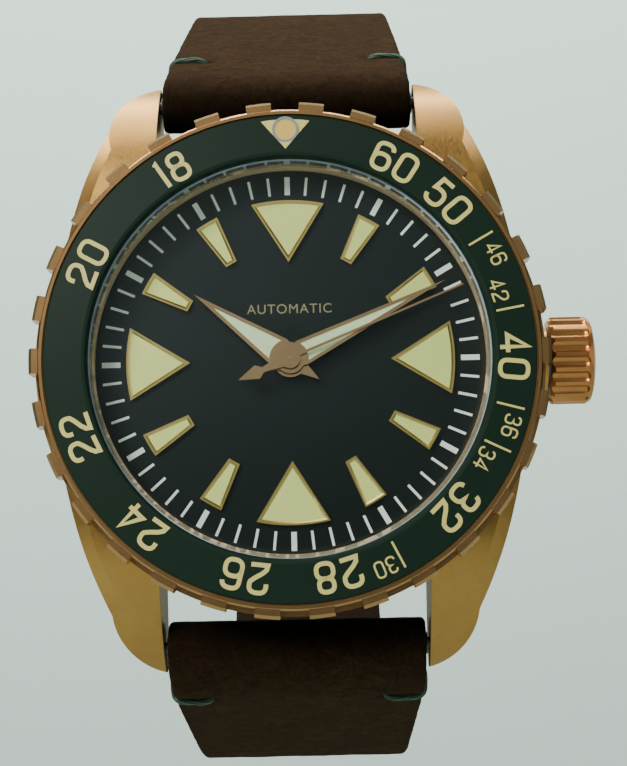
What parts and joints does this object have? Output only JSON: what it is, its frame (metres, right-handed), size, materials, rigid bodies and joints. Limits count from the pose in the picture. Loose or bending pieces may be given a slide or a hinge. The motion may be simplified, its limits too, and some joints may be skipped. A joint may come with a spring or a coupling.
{
  "type": "dive watch",
  "caption": "Mechanical dive watch with a toothed bronze case, turning numbered bezel, green dial, screw-in crown and an open leather strap with a pin buckle.",
  "frame": {"origin": "centre of the case back's flat outer face", "axes": "+X to 3 o'clock and the crown, +Z to 12 o'clock, dial faces -Y"},
  "size_m": [0.0465, 0.1072, 0.0853],
  "materials": {
    "bronze": "satin",
    "polished_bronze": "polished",
    "crown_bronze": "satin",
    "steel": "brushed",
    "polished_steel": "polished",
    "gilt": "polished",
    "movement_brass": "satin",
    "ceramic_green": "satin",
    "dial_green": "sunburst",
    "lume_cream": "matte",
    "lume_mint": "matte",
    "pip_cream": "matte",
    "glass": "clear",
    "rubber": "matte",
    "nylon": "matte",
    "ruby": "polished",
    "suede": "nubuck",
    "thread_green": "waxed thread"
  },
  "bodies": {
    "case": {"mid_case": "bronze", "case_back": "steel", "case_back_gasket": "rubber", "rehaut_ring": "polished_bronze", "crystal": "glass", "crystal_gasket": "nylon", "bezel_retaining_ring": "steel", "bezel_click_spring": "steel", "dial_plate": "dial_green", "hour_marker_frames": "gilt", "hour_marker_lume": "lume_cream", "movement_holder": "nylon", "main_plate": "movement_brass", "train_bridge": "steel", "balance_cock": "steel", "movement_screws": "polished_steel", "jewel_bearings": "ruby", "barrel_arbor": "steel", "rotor_axle": "steel", "crown_tube": "steel", "spring_bar_top": "steel", "spring_bar_bottom": "steel"},
    "bezel": {"bezel_ring": "bronze", "bezel_insert": "ceramic_green", "bezel_pip_cup": "polished_steel", "bezel_pip_lume": "pip_cream"},
    "setting": {"setting_lever": "steel"},
    "crown": {"crown": "crown_bronze", "crown_gasket": "rubber", "winding_stem": "steel"},
    "seconds": {"seconds_wheel": "movement_brass", "seconds_hand": "polished_bronze"},
    "minutes": {"centre_wheel": "movement_brass", "cannon_pinion": "steel", "minute_hand": "polished_bronze", "minute_hand_lume": "lume_mint"},
    "hours": {"hour_wheel": "movement_brass", "hour_hand": "polished_bronze", "hour_hand_lume": "lume_mint"},
    "motion_work": {"minute_wheel": "movement_brass"},
    "third": {"third_wheel": "movement_brass"},
    "escape": {"escape_wheel": "steel"},
    "barrel": {"mainspring_barrel": "movement_brass", "mainspring": "steel"},
    "pallets": {"pallet_fork": "steel"},
    "balance": {"balance_wheel": "movement_brass", "hairspring": "steel"},
    "rotor": {"winding_rotor": "steel"},
    "strap_top_half": {"strap_top": "suede", "strap_top_stitches": "thread_green", "fixed_keeper": "suede", "buckle_bar": "steel"},
    "buckle": {"buckle_frame": "bronze"},
    "tongue": {"buckle_tongue": "bronze"},
    "loose_keeper": {"free_keeper": "suede"},
    "strap_bottom_half": {"strap_bottom": "suede", "strap_bottom_stitches": "thread_green"}
  },
  "joints": [
    {"name": "bezel_turn", "type": "hinge", "parent": "case", "child": "bezel", "pos_m": [0, 0, 0], "axis": [0, -1, 0], "continuous": true},
    {"name": "crown_pull", "type": "slide", "parent": "case", "child": "setting", "axis": [1, 0, 0], "range_m": [0, 0.0014]},
    {"name": "crown_turn", "type": "hinge", "parent": "setting", "child": "crown", "pos_m": [0, -0.0057, 0], "axis": [1, 0, 0], "continuous": true},
    {"name": "seconds_turn", "type": "hinge", "parent": "case", "child": "seconds", "pos_m": [0, 0, 0], "axis": [0, -1, 0], "continuous": true},
    {"name": "minute_turn", "type": "hinge", "parent": "case", "child": "minutes", "pos_m": [0, 0, 0], "axis": [0, -1, 0], "continuous": true},
    {"name": "hour_turn", "type": "hinge", "parent": "case", "child": "hours", "pos_m": [0, 0, 0], "axis": [0, -1, 0], "continuous": true},
    {"name": "minute_wheel_turn", "type": "hinge", "parent": "case", "child": "motion_work", "pos_m": [0.00208, 0, -0.0012], "axis": [0, -1, 0], "continuous": true},
    {"name": "third_wheel_turn", "type": "hinge", "parent": "case", "child": "third", "pos_m": [0.0039, 0, 0.00225], "axis": [0, -1, 0], "continuous": true},
    {"name": "escape_wheel_turn", "type": "hinge", "parent": "case", "child": "escape", "pos_m": [0.0022, 0, -0.00381], "axis": [0, -1, 0], "continuous": true},
    {"name": "barrel_turn", "type": "hinge", "parent": "case", "child": "barrel", "pos_m": [-0.00386, 0, 0.00386], "axis": [0, -1, 0], "continuous": true},
    {"name": "pallet_rock", "type": "hinge", "parent": "case", "child": "pallets", "pos_m": [0.00026, 0, -0.00576], "axis": [0, -1, 0], "range_deg": [-5, 5]},
    {"name": "balance_swing", "type": "hinge", "parent": "case", "child": "balance", "pos_m": [-0.00312, 0, -0.00771], "axis": [0, -1, 0], "range_deg": [-135, 135]},
    {"name": "rotor_turn", "type": "hinge", "parent": "case", "child": "rotor", "pos_m": [0, 0, 0], "axis": [0, -1, 0], "continuous": true},
    {"name": "strap_top_swing", "type": "hinge", "parent": "case", "child": "strap_top_half", "pos_m": [0, -0.0039, 0.0232], "axis": [1, 0, 0], "range_deg": [-12, 38]},
    {"name": "strap_bottom_swing", "type": "hinge", "parent": "case", "child": "strap_bottom_half", "pos_m": [0, -0.0039, -0.0232], "axis": [1, 0, 0], "range_deg": [-60, 12]},
    {"name": "buckle_swing", "type": "hinge", "parent": "strap_top_half", "child": "buckle", "pos_m": [0, 0.06593, 0.04438], "axis": [1, 0, 0], "range_deg": [-70, 55]},
    {"name": "tongue_lift", "type": "hinge", "parent": "buckle", "child": "tongue", "pos_m": [0, 0.06593, 0.04438], "axis": [1, 0, 0], "range_deg": [0, 55]},
    {"name": "free_keeper_slide", "type": "slide", "parent": "strap_top_half", "child": "loose_keeper", "axis": [0, 0.9988, 0.0492], "range_m": [-0.013, 0.001]}
  ],
  "couplings": [
    {"joint": "third_wheel_turn", "follows": "seconds_turn", "ratio": -0.13333},
    {"joint": "minute_turn", "follows": "seconds_turn", "ratio": 0.016667},
    {"joint": "minute_wheel_turn", "follows": "seconds_turn", "ratio": -0.0055556},
    {"joint": "hour_turn", "follows": "seconds_turn", "ratio": 0.0013889},
    {"joint": "barrel_turn", "follows": "seconds_turn", "ratio": -0.0027778},
    {"joint": "escape_wheel_turn", "follows": "seconds_turn", "ratio": -10}
  ]
}
